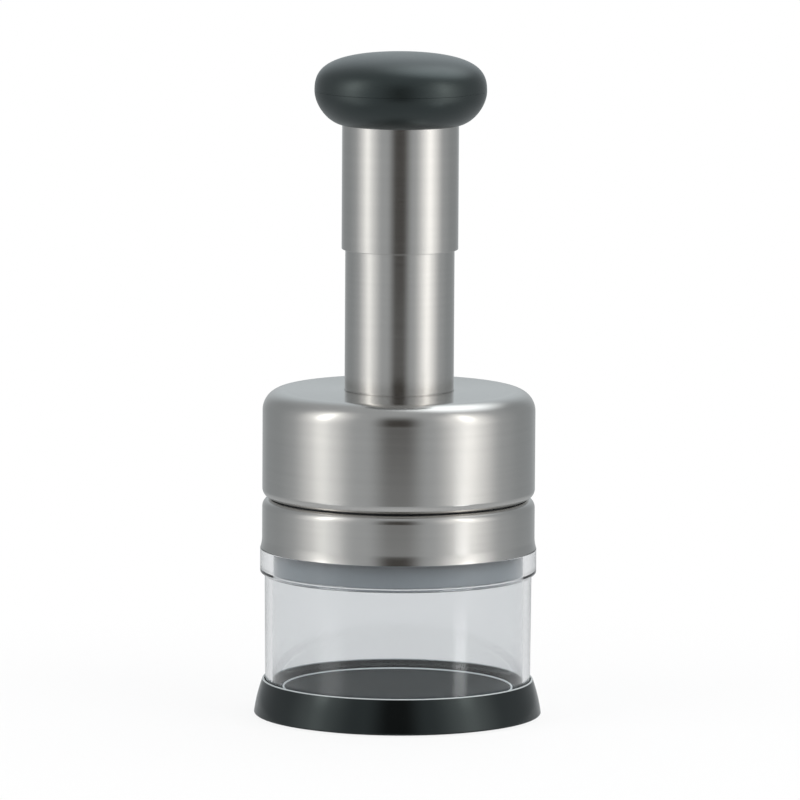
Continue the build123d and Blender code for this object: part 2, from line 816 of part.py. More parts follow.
# Return spring: one close turn at each end, even turns between, in quarter turns of two arcs each
wire_low = spring_bottom + wire_d / 2 + seat_gap
wire_high = spring_top - wire_d / 2 - seat_gap
end_pitch = wire_d + spring_end_gap
free_pitch = (wire_high - wire_low - 2 * end_pitch) / spring_turns
heading_step = 1 / 64  # of a turn
turn_steps = 4  # quarters in a turn


def wire_height(turn):
    if turn <= 1:
        return wire_low + end_pitch * turn
    if turn <= 1 + spring_turns:
        return wire_low + end_pitch + free_pitch * (turn - 1)
    return wire_high - end_pitch * (2 + spring_turns - turn)


def wire_point(turn):
    return Vector(spring_r * cos(2 * pi * turn), spring_r * sin(2 * pi * turn), wire_height(turn))


def wire_heading(turn):
    rise = wire_height(turn + heading_step) - wire_height(turn - heading_step)
    climb = rise / (2 * heading_step) / (2 * pi)
    return Vector(-spring_r * sin(2 * pi * turn), spring_r * cos(2 * pi * turn), climb).normalized()


quarter_count = turn_steps * (spring_turns + 2)
with BuildPart() as return_spring:
    with BuildLine() as wire_path:
        for quarter in range(quarter_count):
            first = wire_point(quarter / turn_steps)
            last = wire_point((quarter + 1) / turn_steps)
            leave = wire_heading(quarter / turn_steps)
            arrive = wire_heading((quarter + 1) / turn_steps)
            chord = last - first
            spread = 1 - leave.dot(arrive)
            pull = chord.dot(leave + arrive)
            reach = (sqrt(pull**2 + 2 * spread * chord.dot(chord)) - pull) / (2 * spread)
            leave_end = first + leave * reach
            arrive_end = last - arrive * reach
            middle = (leave_end + arrive_end) / 2
            TangentArc(first, middle, tangent=leave)
            TangentArc(middle, last, tangent=arrive_end - leave_end)
    with BuildSketch(Plane(wire_path.line @ 0, z_dir=wire_path.line % 0)):
        Circle(wire_d / 2)
    sweep(path=wire_path.line)
print("return spring, least gap between turns:", min(end_pitch, free_pitch) - wire_d)
save(return_spring.part, "return_spring")

# Handle tube, pinned to the core inside the knob
pin_height = core_bottom + core_pin_height
pin_planes = [upright(90 + pin * 360 / core_pin_count) for pin in range(core_pin_count)]
with BuildPart() as handle_tube:
    revolve(ring_outline(handle_bore_r, handle_r, handle_bottom, handle_top), axis=Axis.Z)
    chamfer(handle_tube.edges().group_by(Axis.Z)[0], length=tube_edge)
    for pin_plane in pin_planes:
        with BuildSketch(pin_plane):
            with Locations((0, pin_height)):
                Circle(core_pin_d / 2 + seat_gap)
        extrude(amount=core_r, mode=Mode.SUBTRACT)
save(handle_tube.part, "handle_tube")

# Core over the top of the handle tube
with BuildPart() as knob_core:
    core_half = half_outline(
        (journal_r + shaft_gap, handle_top),
        (core_bore_r, handle_top),
        (core_bore_r, core_bottom),
        (core_r, core_bottom),
        (core_r, core_top),
        (journal_r + shaft_gap, core_top),
    )
    revolve(core_half, axis=Axis.Z)
    for pin_plane in pin_planes:
        with BuildSketch(pin_plane):
            with Locations((0, pin_height)):
                Circle(core_pin_d / 2 + seat_gap)
        extrude(amount=core_r + seat_gap, mode=Mode.SUBTRACT)
save(knob_core.part, "knob_core")

# Pins through the core and the handle tube
pin_inner = handle_bore_r + seat_gap
with BuildPart() as core_pins:
    for pin_plane in pin_planes:
        with BuildSketch(pin_plane.offset(pin_inner)):
            with Locations((0, pin_height)):
                Circle(core_pin_d / 2)
        extrude(amount=core_r - pin_inner - seat_gap)
save(core_pins.part, "core_pins")

# Knob, lower half: socket for the core and a groove for the upper half
with BuildPart() as knob_base:
    with BuildSketch(Plane.XZ):
        with BuildLine():
            Bezier(
                (knob_r, seam_height - knob_seam),
                (knob_r, seam_height - belly_side_share * knob_drop),
                (land_r + belly_neck_share * (knob_r - land_r), knob_bottom + belly_foot_share * knob_drop),
                (land_r, knob_bottom),
            )
            Polyline(
                (land_r, knob_bottom),
                (handle_r + seat_gap, knob_bottom),
                (handle_r + seat_gap, core_bottom),
                (core_r + seat_gap, core_bottom),
                (core_r + seat_gap, seam_height),
                (knob_r - knob_seam, seam_height),
                (knob_r, seam_height - knob_seam),
            )
        make_face()
    revolve(axis=Axis.Z)
    snap_groove = ring_outline(
        snap_r - snap_wall - snap_gap, snap_r + snap_gap, seam_height - snap_depth - snap_gap, seam_height
    )
    revolve(snap_groove, axis=Axis.Z, mode=Mode.SUBTRACT)
save(knob_base.part, "knob_base")

# Knob, upper half: dome with a snap ring and a ring that presses on the core
cavity_top = knob_top_height - knob_wall
cavity_rise = cavity_top - seam_height
with BuildPart() as knob_top:
    with BuildSketch(Plane.XZ):
        with BuildLine():
            Bezier(
                (knob_r, seam_height + knob_seam),
                (knob_r, seam_height + dome_side_share * knob_rise),
                (dome_crown_share * knob_r, knob_top_height),
                (0, knob_top_height),
            )
            Line((0, knob_top_height), (0, cavity_top))
            Bezier(
                (0, cavity_top),
                (dome_crown_share * cavity_r, cavity_top),
                (cavity_r, seam_height + dome_side_share * cavity_rise),
                (cavity_r, seam_height),
            )
            Polyline(
                (cavity_r, seam_height),
                (cavity_r, seam_height - snap_depth),
                (snap_r, seam_height - snap_depth),
                (snap_r, seam_height),
                (knob_r - knob_seam, seam_height),
                (knob_r, seam_height + knob_seam),
            )
        make_face()
    revolve(axis=Axis.Z)
    press_half = ring_outline(press_r - press_ring_wall, press_r, core_top + seat_gap, cavity_top)
    revolve(press_half, axis=Axis.Z)
save(knob_top.part, "knob_top")

print("stroke", round(stroke, 3), "mm, height", round(knob_top_height, 3), "mm")
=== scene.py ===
import json
from math import cos, radians, sin, sqrt, tau

import bmesh
import bpy
from mathutils import Matrix, Vector


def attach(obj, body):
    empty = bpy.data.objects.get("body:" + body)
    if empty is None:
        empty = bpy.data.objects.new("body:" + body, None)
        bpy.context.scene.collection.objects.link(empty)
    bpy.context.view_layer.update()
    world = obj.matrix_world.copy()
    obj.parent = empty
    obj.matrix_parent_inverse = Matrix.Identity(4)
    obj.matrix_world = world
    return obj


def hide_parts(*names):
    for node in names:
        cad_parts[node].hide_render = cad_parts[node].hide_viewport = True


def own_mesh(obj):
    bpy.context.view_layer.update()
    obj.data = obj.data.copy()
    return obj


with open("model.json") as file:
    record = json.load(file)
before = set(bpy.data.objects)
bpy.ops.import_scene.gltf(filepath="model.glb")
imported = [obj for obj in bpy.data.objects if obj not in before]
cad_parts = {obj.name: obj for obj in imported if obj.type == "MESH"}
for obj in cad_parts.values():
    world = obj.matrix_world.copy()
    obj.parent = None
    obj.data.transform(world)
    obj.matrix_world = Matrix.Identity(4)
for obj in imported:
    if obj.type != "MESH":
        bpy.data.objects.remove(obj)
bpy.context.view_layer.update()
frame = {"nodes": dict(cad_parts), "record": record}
mm = 0.001  # outlines below are in millimetres
mergeGap = 1e-7  # points closer than this become one, in metres
roundSegments = 192  # sides of a turned piece
fineSegments = 256  # sides of the widest turned pieces
print("frame loaded:", len(frame["nodes"]), "nodes")


# node helpers, for shape trees and material trees alike
def addNode(tree, kind, wires=None, **settings):
    node = tree.nodes.new(kind)
    for label, value in settings.items():
        setattr(node, label, value)
    for label, value in (wires or {}).items():
        socket = node.inputs[label]
        if isinstance(value, bpy.types.NodeSocket):
            tree.links.new(value, socket)
        else:
            socket.default_value = value
    return node


def mathNode(tree, operation, first, second=0.0, third=0.0):
    return addNode(tree, "ShaderNodeMath", {0: first, 1: second, 2: third}, operation=operation).outputs[0]


def shapeTree(name, inputs):
    tree = bpy.data.node_groups.new(name, "GeometryNodeTree")
    tree.interface.new_socket("Geometry", in_out="INPUT", socket_type="NodeSocketGeometry")
    for label, kind in inputs.items():
        tree.interface.new_socket(label, in_out="INPUT", socket_type="NodeSocket" + kind)
    tree.interface.new_socket("Geometry", in_out="OUTPUT", socket_type="NodeSocketGeometry")
    return tree, addNode(tree, "NodeGroupInput").outputs


def endTree(tree, shape, material):
    whole = addNode(tree, "GeometryNodeRealizeInstances", {"Geometry": shape}).outputs[0]
    covered = addNode(tree, "GeometryNodeSetMaterial", {"Geometry": whole, "Material": material}).outputs[0]
    addNode(tree, "NodeGroupOutput", {0: covered})


# turned piece: an outline drawn flat (x is radius, y is height) goes round the axis
def makeTurnedTree():
    inputs = {"Segments": "Int", "Round Steps": "Int", "Ring": "Float", "Material": "Material"}
    tree, given = shapeTree("turnedPiece", inputs)
    drawn = addNode(tree, "GeometryNodeMeshToCurve", {0: given["Geometry"]}).outputs[0]
    rounding = addNode(
        tree, "GeometryNodeInputNamedAttribute", {"Name": "round"}, data_type="FLOAT"
    ).outputs[0]
    rounded = addNode(
        tree, "GeometryNodeFilletCurve",
        {"Curve": drawn, "Count": given["Round Steps"], "Radius": rounding}, mode="POLY",
    ).outputs[0]
    inward = mathNode(tree, "MULTIPLY", given["Ring"], -1.0)
    shift = addNode(tree, "ShaderNodeCombineXYZ", {"X": inward}).outputs[0]
    profile = addNode(
        tree, "GeometryNodeTransform", {"Geometry": rounded, "Translation": shift, "Scale": (1, -1, 1)}
    ).outputs[0]
    ring = addNode(
        tree, "GeometryNodeCurvePrimitiveCircle", {"Resolution": given["Segments"], "Radius": given["Ring"]}
    ).outputs[0]
    spun = addNode(tree, "GeometryNodeCurveToMesh", {"Curve": ring, "Profile Curve": profile}).outputs[0]
    merge = {"Geometry": spun, "Distance": mergeGap}
    closed = addNode(tree, "GeometryNodeMergeByDistance", merge).outputs[0]
    endTree(tree, closed, given["Material"])
    return tree


# the same shape several times round the axis
def makeArrayTree():
    tree, given = shapeTree("roundTheAxis", {"Count": "Int", "Start": "Float", "Material": "Material"})
    places = addNode(tree, "GeometryNodePoints", {"Count": given["Count"], "Radius": mm}).outputs[0]
    index = addNode(tree, "GeometryNodeInputIndex").outputs[0]
    share = mathNode(tree, "DIVIDE", index, given["Count"])
    turn = mathNode(tree, "MULTIPLY_ADD", share, tau, given["Start"])
    rotation = addNode(tree, "ShaderNodeCombineXYZ", {"Z": turn}).outputs[0]
    copies = addNode(
        tree, "GeometryNodeInstanceOnPoints",
        {"Points": places, "Instance": given["Geometry"], "Rotation": rotation},
    ).outputs[0]
    endTree(tree, copies, given["Material"])
    return tree


# wound spring: one close turn at each end, even turns between
def makeCoilTree():
    inputs = {"Turns": "Int", "Steps": "Int", "Wire Steps": "Int"}
    inputs |= {"Coil Radius": "Float", "Wire Radius": "Float"}
    inputs |= {"Bottom": "Float", "Top": "Float", "End Pitch": "Float", "Material": "Material"}
    tree, given = shapeTree("woundSpring", inputs)
    endTurns = 2.0  # both close turns together
    allTurns = mathNode(tree, "ADD", given["Turns"], endTurns)
    points = mathNode(tree, "MULTIPLY_ADD", allTurns, given["Steps"], 1.0)
    line = addNode(tree, "GeometryNodeCurvePrimitiveLine").outputs[0]
    dotted = addNode(tree, "GeometryNodeResampleCurve", {"Curve": line, "Count": points}).outputs[0]
    factor = addNode(tree, "GeometryNodeSplineParameter").outputs["Factor"]
    turn = mathNode(tree, "MULTIPLY", factor, allTurns)
    low = mathNode(tree, "ADD", given["Bottom"], given["Wire Radius"])
    high = mathNode(tree, "SUBTRACT", given["Top"], given["Wire Radius"])
    span = mathNode(tree, "SUBTRACT", high, low)
    climb = mathNode(tree, "MULTIPLY_ADD", given["End Pitch"], -endTurns, span)
    pitch = mathNode(tree, "DIVIDE", climb, given["Turns"])
    first = mathNode(tree, "MINIMUM", turn, endTurns / 2)
    rest = mathNode(tree, "SUBTRACT", turn, first)
    even = mathNode(tree, "MINIMUM", rest, given["Turns"])
    ends = mathNode(tree, "SUBTRACT", turn, even)
    evenHeight = mathNode(tree, "MULTIPLY_ADD", even, pitch, low)
    height = mathNode(tree, "MULTIPLY_ADD", ends, given["End Pitch"], evenHeight)
    angle = mathNode(tree, "MULTIPLY", turn, tau)
    across = mathNode(tree, "MULTIPLY", mathNode(tree, "COSINE", angle), given["Coil Radius"])
    along = mathNode(tree, "MULTIPLY", mathNode(tree, "SINE", angle), given["Coil Radius"])
    spot = addNode(tree, "ShaderNodeCombineXYZ", {"X": across, "Y": along, "Z": height}).outputs[0]
    path = addNode(tree, "GeometryNodeSetPosition", {"Geometry": dotted, "Position": spot}).outputs[0]
    section = addNode(
        tree, "GeometryNodeCurvePrimitiveCircle",
        {"Resolution": given["Wire Steps"], "Radius": given["Wire Radius"]},
    ).outputs[0]
    wire = addNode(
        tree, "GeometryNodeCurveToMesh", {"Curve": path, "Profile Curve": section, "Fill Caps": True}
    ).outputs[0]
    endTree(tree, wire, given["Material"])
    return tree


turnedTree = makeTurnedTree()
arrayTree = makeArrayTree()
coilTree = makeCoilTree()
print("shape trees made")


# the evaluated shape becomes the piece's plain mesh
def bake(piece):
    graph = bpy.context.evaluated_depsgraph_get()
    mesh = bpy.data.meshes.new_from_object(piece.evaluated_get(graph))
    piece.modifiers.clear()
    piece.data = mesh


# run a shape tree on a piece, then even its normals so that straight walls stay straight beside rounds
def settle(piece, tree, values, sharpDeg=30):
    modifier = piece.modifiers.new("shape", "NODES")
    modifier.node_group = tree
    for socket in tree.interface.items_tree:
        if socket.in_out == "INPUT" and socket.name in values:
            modifier[socket.identifier] = values[socket.name]
    bake(piece)
    shape = bmesh.new()
    shape.from_mesh(piece.data)
    bmesh.ops.remove_doubles(shape, verts=shape.verts, dist=mergeGap)
    bmesh.ops.recalc_face_normals(shape, faces=shape.faces)
    shape.to_mesh(piece.data)
    shape.free()
    piece.data.shade_smooth()
    piece.data.set_sharp_from_angle(angle=radians(sharpDeg))
    piece.modifiers.new("evenNormals", "WEIGHTED_NORMAL").keep_sharp = True
    bake(piece)
    piece.data.name = piece.name
    return piece


def newPiece(name, points, edges, faces=()):
    mesh = bpy.data.meshes.new(name)
    mesh.from_pydata(points, edges, faces)
    piece = bpy.data.objects.new(name, mesh)
    bpy.context.collection.objects.link(piece)
    return piece


# outline of (radius, height) or (radius, height, corner round); open where both ends are on the axis
def turned(name, outline, material, segments=roundSegments, roundSteps=5):
    last = len(outline) - 1
    edges = [(i, i + 1) for i in range(last)]
    if outline[0][0] > 0:
        edges.append((last, 0))
    piece = newPiece(name, [(point[0] * mm, point[1] * mm, 0) for point in outline], edges)
    rounds = piece.data.attributes.new("round", "FLOAT", "POINT")
    rounds.data.foreach_set("value", [point[2] * mm if len(point) > 2 else 0 for point in outline])
    ring = max(point[0] for point in outline) * mm
    values = {"Segments": segments, "Round Steps": roundSteps, "Ring": ring, "Material": material}
    return settle(piece, turnedTree, values)


def arcPoints(across, height, radius, startDeg, endDeg, steps=8):
    angles = [radians(startDeg + (endDeg - startDeg) * step / steps) for step in range(steps + 1)]
    return [(across + radius * cos(angle), height + radius * sin(angle)) for angle in angles]


# cubic bend between two points with two handles
def bendPoints(start, handleA, handleB, end, steps=20):
    points = []
    for step in range(steps + 1):
        t = step / steps
        weights = ((1 - t) ** 3, 3 * t * (1 - t) ** 2, 3 * t * t * (1 - t), t**3)
        corners = (start, handleA, handleB, end)
        points.append(tuple(sum(w * c[axis] for w, c in zip(weights, corners)) for axis in (0, 1)))
    return points


def place(piece, body, slotName, *nodes):
    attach(piece, body)
    if nodes:
        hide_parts(*nodes)
    return piece


# material helpers
def startLook(name, sockets):
    look = bpy.data.materials.new(name)
    look.use_nodes = True
    tree = look.node_tree
    shader = tree.nodes["Principled BSDF"]
    for label, value in sockets.items():
        shader.inputs[label].default_value = value
    where = addNode(tree, "ShaderNodeTexCoord").outputs["Object"]
    return look, tree, shader, where


def noiseAt(tree, where, scale, detail=2.0, rough=0.5):
    wires = {"Vector": where, "Scale": scale, "Detail": detail, "Roughness": rough}
    return addNode(tree, "ShaderNodeTexNoise", wires).outputs[0]


def ranged(tree, value, low, high, fromLow=0.3, fromHigh=0.7, ease="LINEAR"):
    wires = {"Value": value, "From Min": fromLow, "From Max": fromHigh, "To Min": low, "To Max": high}
    return addNode(tree, "ShaderNodeMapRange", wires, interpolation_type=ease).outputs[0]


def mixed(tree, share, colourA, colourB):
    wires = {0: share, 6: colourA, 7: colourB}  # 6, 7 and output 2 are the node's colour sockets
    return addNode(tree, "ShaderNodeMix", wires, data_type="RGBA").outputs[2]


def colour(red, green, blue):
    return (red, green, blue, 1.0)


def bumped(tree, shader, height, depth):
    wires = {"Height": height, "Distance": depth, "Strength": 1.0}
    bump = addNode(tree, "ShaderNodeBump", wires).outputs[0]
    tree.links.new(bump, shader.inputs["Normal"])


# coordinates in which lines run round the axis: long round it, fine along the radius and the height
def roundAxis(tree, where, lineLength, linePitch):
    parts = addNode(tree, "ShaderNodeSeparateXYZ", {0: where}).outputs
    flat = addNode(tree, "ShaderNodeCombineXYZ", {"X": parts["X"], "Y": parts["Y"]}).outputs[0]
    radius = addNode(tree, "ShaderNodeVectorMath", {0: flat}, operation="LENGTH").outputs["Value"]
    across = mathNode(tree, "MULTIPLY", radius, 1 / linePitch)
    first = mathNode(tree, "MULTIPLY_ADD", parts["X"], 1 / lineLength, across)
    second = mathNode(tree, "MULTIPLY", parts["Y"], 1 / lineLength)
    third = mathNode(tree, "MULTIPLY", parts["Z"], 1 / linePitch)
    return addNode(tree, "ShaderNodeCombineXYZ", {"X": first, "Y": second, "Z": third}).outputs[0]


brushedValues = {
    "tone": colour(0.622, 0.607, 0.588),
    "lowTone": colour(0.602, 0.588, 0.570),
    "lineLength": 0.045,
    "linePitch": 0.0003,
    "broadShare": 0.2,  # broad streaks are this much coarser
    "roughLow": 0.16,
    "roughHigh": 0.20,
    "smudgeScale": 26.0,
    "smudgeRough": 0.04,
    "lineDepth": 0.000002,
    "anisotropy": 0.6,
    "across": 0.25,  # quarter turn: gloss spreads across the lines
}


# satin steel: fine lines round the axis, faint smudges
def makeBrushed(values):
    sockets = {
        "Metallic": 1.0,
        "Anisotropic": values["anisotropy"],
        "Anisotropic Rotation": values["across"],
    }
    look, tree, shader, where = startLook("brushedSteel", sockets)
    lines = roundAxis(tree, where, values["lineLength"], values["linePitch"])
    fine = noiseAt(tree, lines, 1.0, detail=3.0, rough=0.6)
    broad = noiseAt(tree, lines, values["broadShare"])
    smudge = noiseAt(tree, where, values["smudgeScale"], detail=3.0)
    tone = mixed(tree, ranged(tree, broad, 0.0, 1.0), values["lowTone"], values["tone"])
    tree.links.new(tone, shader.inputs["Base Color"])
    lineRough = ranged(tree, fine, values["roughLow"], values["roughHigh"])
    handled = ranged(tree, smudge, 0.0, values["smudgeRough"])
    tree.links.new(mathNode(tree, "ADD", lineRough, handled), shader.inputs["Roughness"])
    bumped(tree, shader, fine, values["lineDepth"])
    tangent = addNode(tree, "ShaderNodeTangent", direction_type="RADIAL", axis="Z").outputs[0]
    tree.links.new(tangent, shader.inputs["Tangent"])
    return look


# plain bright steel of the parts inside: drawn wire, ground strip, turned rod
brightValues = {
    "tone": colour(0.78, 0.78, 0.785),
    "lowTone": colour(0.70, 0.70, 0.71),
    "scratchScale": 900.0,
    "scratchStretch": (1.0, 1.0, 0.06),
    "cloudScale": 70.0,
    "roughLow": 0.25,
    "roughHigh": 0.31,
    "depth": 0.000001,
}


def makeBright(values):
    look, tree, shader, where = startLook("brightSteel", {"Metallic": 1.0})
    wires = {"Vector": where, "Scale": values["scratchStretch"]}
    stretched = addNode(tree, "ShaderNodeMapping", wires).outputs[0]
    scratch = noiseAt(tree, stretched, values["scratchScale"], detail=3.0, rough=0.65)
    cloud = noiseAt(tree, where, values["cloudScale"], detail=3.0)
    tone = mixed(tree, ranged(tree, cloud, 0.0, 1.0), values["lowTone"], values["tone"])
    tree.links.new(tone, shader.inputs["Base Color"])
    rough = ranged(tree, scratch, values["roughLow"], values["roughHigh"])
    tree.links.new(rough, shader.inputs["Roughness"])
    bumped(tree, shader, scratch, values["depth"])
    return look


# painted highlight: tone made pale above a height, standing in for light caught on an edge
def paintedRimHighlight(tree, where, tone, values):
    height = addNode(tree, "ShaderNodeSeparateXYZ", {0: where}).outputs["Z"]
    highlightShare = ranged(tree, height, 0.0, 1.0, values["rimHighlightLow"], values["rimHighlightHigh"])
    return mixed(tree, highlightShare, tone, values["rimHighlightTone"])


# moulded plastics, rubber and brass share one build: grain, soft clouds of tone, a little uneven gloss,
# and where given a painted highlight: a rim made pale above a height
def makeMoulded(name, values, sockets=None):
    look, tree, shader, where = startLook(name, sockets or {})
    grain = noiseAt(tree, where, values["grainScale"], detail=2.0, rough=0.6)
    cloud = noiseAt(tree, where, values["cloudScale"], detail=4.0)
    tone = mixed(tree, ranged(tree, cloud, 0.0, 1.0), values["lowTone"], values["tone"])
    # where given, a painted highlight makes the rim pale above a height
    if "rimHighlightTone" in values:
        tone = paintedRimHighlight(tree, where, tone, values)
    tree.links.new(tone, shader.inputs["Base Color"])
    grainRough = ranged(tree, grain, values["roughLow"], values["roughHigh"])
    cloudRough = ranged(tree, cloud, 0.0, values["cloudRough"])
    tree.links.new(mathNode(tree, "ADD", grainRough, cloudRough), shader.inputs["Roughness"])
    bumped(tree, shader, grain, values["grainDepth"])
    return look


gripValues = {
    "tone": colour(0.0058, 0.0080, 0.0080),
    "lowTone": colour(0.0046, 0.0064, 0.0064),
    "grainScale": 2600.0,
    "grainDepth": 0.000004,
    "cloudScale": 45.0,
    "cloudRough": 0.05,
    "roughLow": 0.26,
    "roughHigh": 0.32,
}
basePlasticValues = {
    "tone": colour(0.0030, 0.0037, 0.0038),
    "lowTone": colour(0.0022, 0.0028, 0.0029),
    "grainScale": 1800.0,
    "grainDepth": 0.000002,
    "cloudScale": 60.0,
    "cloudRough": 0.05,
    "roughLow": 0.09,
    "roughHigh": 0.12,
    # painted highlight: the lip's top edge is made pale above a height, standing in for light caught there
    "rimHighlightTone": colour(0.42, 0.44, 0.44),
    "rimHighlightLow": 11.62 * mm,
    "rimHighlightHigh": 11.82 * mm,
}
rubberValues = {
    "tone": colour(0.020, 0.020, 0.021),
    "lowTone": colour(0.013, 0.013, 0.014),
    "grainScale": 1500.0,
    "grainDepth": 0.00002,
    "cloudScale": 80.0,
    "cloudRough": 0.08,
    "roughLow": 0.62,
    "roughHigh": 0.78,
}
slateValues = {
    "tone": colour(0.155, 0.173, 0.186),
    "lowTone": colour(0.136, 0.152, 0.164),
    "grainScale": 1600.0,
    "grainDepth": 0.000004,
    "cloudScale": 50.0,
    "cloudRough": 0.06,
    "roughLow": 0.34,
    "roughHigh": 0.44,
}
whiteValues = {
    "tone": colour(0.78, 0.78, 0.75),
    "lowTone": colour(0.70, 0.70, 0.67),
    "grainScale": 1600.0,
    "grainDepth": 0.000004,
    "cloudScale": 40.0,
    "cloudRough": 0.06,
    "roughLow": 0.36,
    "roughHigh": 0.46,
}
brassValues = {
    "tone": colour(0.74, 0.55, 0.25),
    "lowTone": colour(0.60, 0.42, 0.18),
    "grainScale": 1200.0,
    "grainDepth": 0.000003,
    "cloudScale": 90.0,
    "cloudRough": 0.08,
    "roughLow": 0.24,
    "roughHigh": 0.36,
}
boardValues = {
    "tone": colour(0.0095, 0.0150, 0.0165),
    "lowTone": colour(0.0070, 0.0110, 0.0122),
    "markTone": colour(0.0225, 0.0290, 0.0305),
    "markScale": 1700.0,
    "markLength": 32.0,  # length of a mark over its width
    "markTurns": (12.0, 57.0, 101.0, 148.0),
    "markShift": 0.37,
    "markLow": 0.66,
    "markHigh": 0.74,
    "markLeast": 0.2,  # share of the marks where the board is least worn
    "markDepth": 0.00002,
    "wearScale": 55.0,
    "grainScale": 1500.0,
    "grainShare": 0.12,
    "specular": 0.015,
    "rough": 0.48,
    "markRough": 0.54,
    # painted highlight: the raised line near the board's edge is made pale above a height
    "rimHighlightTone": colour(0.58, 0.61, 0.62),
    "rimHighlightLow": 9.45 * mm,
    "rimHighlightHigh": 9.55 * mm,
}


# board: fine straight chop marks in a few directions, more where it is worn, and a painted highlight that
# makes its raised rim pale
def makeBoard(values):
    look, tree, shader, where = startLook("blackBoard", {"Specular IOR Level": values["specular"]})
    marks = None
    for number, turnDeg in enumerate(values["markTurns"]):
        wires = {
            "Vector": where,
            "Location": (number * values["markShift"], 0, 0),
            "Rotation": (0, 0, radians(turnDeg)),
            "Scale": (1.0, values["markLength"], 1.0),
        }
        along = addNode(tree, "ShaderNodeMapping", wires, vector_type="TEXTURE").outputs[0]
        streak = noiseAt(tree, along, values["markScale"], detail=1.0)
        line = ranged(tree, streak, 0.0, 1.0, values["markLow"], values["markHigh"])
        marks = line if marks is None else mathNode(tree, "MAXIMUM", marks, line)
    worn = noiseAt(tree, where, values["wearScale"], detail=3.0)
    shown = mathNode(tree, "MULTIPLY", marks, ranged(tree, worn, values["markLeast"], 1.0))
    plain = mixed(tree, ranged(tree, worn, 0.0, 1.0), values["lowTone"], values["tone"])
    marked = mixed(tree, shown, plain, values["markTone"])
    # painted highlight on the raised rim, over the marked tone
    tree.links.new(paintedRimHighlight(tree, where, marked, values), shader.inputs["Base Color"])
    rough = ranged(tree, shown, values["rough"], values["markRough"], 0.0, 1.0)
    tree.links.new(rough, shader.inputs["Roughness"])
    grain = mathNode(tree, "MULTIPLY", noiseAt(tree, where, values["grainScale"]), values["grainShare"])
    dug = mathNode(tree, "MULTIPLY_ADD", shown, -1.0, grain)
    bumped(tree, shader, dug, values["markDepth"])
    return look


jarValues = {
    "tint": colour(0.797, 0.811, 0.822),
    "shadowTint": colour(0.90, 0.92, 0.93),
    "index": 1.50,
    "roughLow": 0.0,
    "roughHigh": 0.035,
    "scuffScale": 38.0,
    "scuffFrom": 0.5,
    "scuffTo": 0.75,
    "rippleScale": 60.0,
    "rippleDepth": 0.00001,
}


# clear jar: faint scuffs, slight ripple of the moulding, and light passes it into the shadow
def makeClear(values):
    sockets = {"Transmission Weight": 1.0, "IOR": values["index"], "Base Color": values["tint"]}
    look, tree, shader, where = startLook("clearJar", sockets)
    scuff = noiseAt(tree, where, values["scuffScale"], detail=6.0, rough=0.7)
    limits = values["roughLow"], values["roughHigh"], values["scuffFrom"], values["scuffTo"]
    tree.links.new(ranged(tree, scuff, *limits), shader.inputs["Roughness"])
    bumped(tree, shader, noiseAt(tree, where, values["rippleScale"], detail=1.0), values["rippleDepth"])
    path = addNode(tree, "ShaderNodeLightPath").outputs
    passing = addNode(tree, "ShaderNodeBsdfTransparent", {"Color": values["shadowTint"]}).outputs[0]
    wires = {0: path["Is Shadow Ray"], 1: shader.outputs[0], 2: passing}
    both = addNode(tree, "ShaderNodeMixShader", wires).outputs[0]
    tree.links.new(both, tree.nodes["Material Output"].inputs["Surface"])
    return look


brushedSteel = makeBrushed(brushedValues)
brightSteel = makeBright(brightValues)
coolGloss = colour(0.86, 1.0, 1.0)
gripGloss = {
    "Specular IOR Level": 0.75,
    "Specular Tint": coolGloss,
    "Sheen Weight": 0.05,
    "Sheen Roughness": 0.35,
    "Sheen Tint": coolGloss,
}
gripBlack = makeMoulded("gripBlack", gripValues, gripGloss)
baseGloss = {"Specular IOR Level": 0.58, "Specular Tint": coolGloss}
baseBlack = makeMoulded("baseBlack", basePlasticValues, baseGloss)
rubberBlack = makeMoulded("rubberBlack", rubberValues)
slatePlastic = makeMoulded("slatePlastic", slateValues)
whitePlastic = makeMoulded("whitePlastic", whiteValues)
turnedBrass = makeMoulded("turnedBrass", brassValues, {"Metallic": 1.0})
blackBoard = makeBoard(boardValues)
clearJar = makeClear(jarValues)
print("materials made")

# knob: dome and skirt meet in a fine crease
knob = {
    "radius": 28.05,
    "bottom": 194.0,
    "seam": 205.0,
    "top": 217.3,
    "crease": 0.06,
    "creaseRound": 0.05,
    "land": 19.65,
    "bore": 19.05,
    "coreRadius": 21.1,
    "coreBottom": 196.4,
    "domeSide": 0.5,  # share of the dome's rise that its side pulls upright
    "domeCrown": 0.92,  # share of the radius that the crown pulls flat
    "bellySide": 0.4,  # the same for the lower half: its side
    "bellyFoot": 0.1,  # its foot
    "bellyNeck": 0.55,  # and its way in to the tube
    "snapOuter": 25.65,
    "snapInner": 24.05,
    "snapDepth": 2.4,
    "snapGap": 0.1,
    "edge": 0.3,
    "wall": 2.3,
    "pressOuter": 17.05,
    "pressInner": 14.05,
    "pressBottom": 210.55,
}


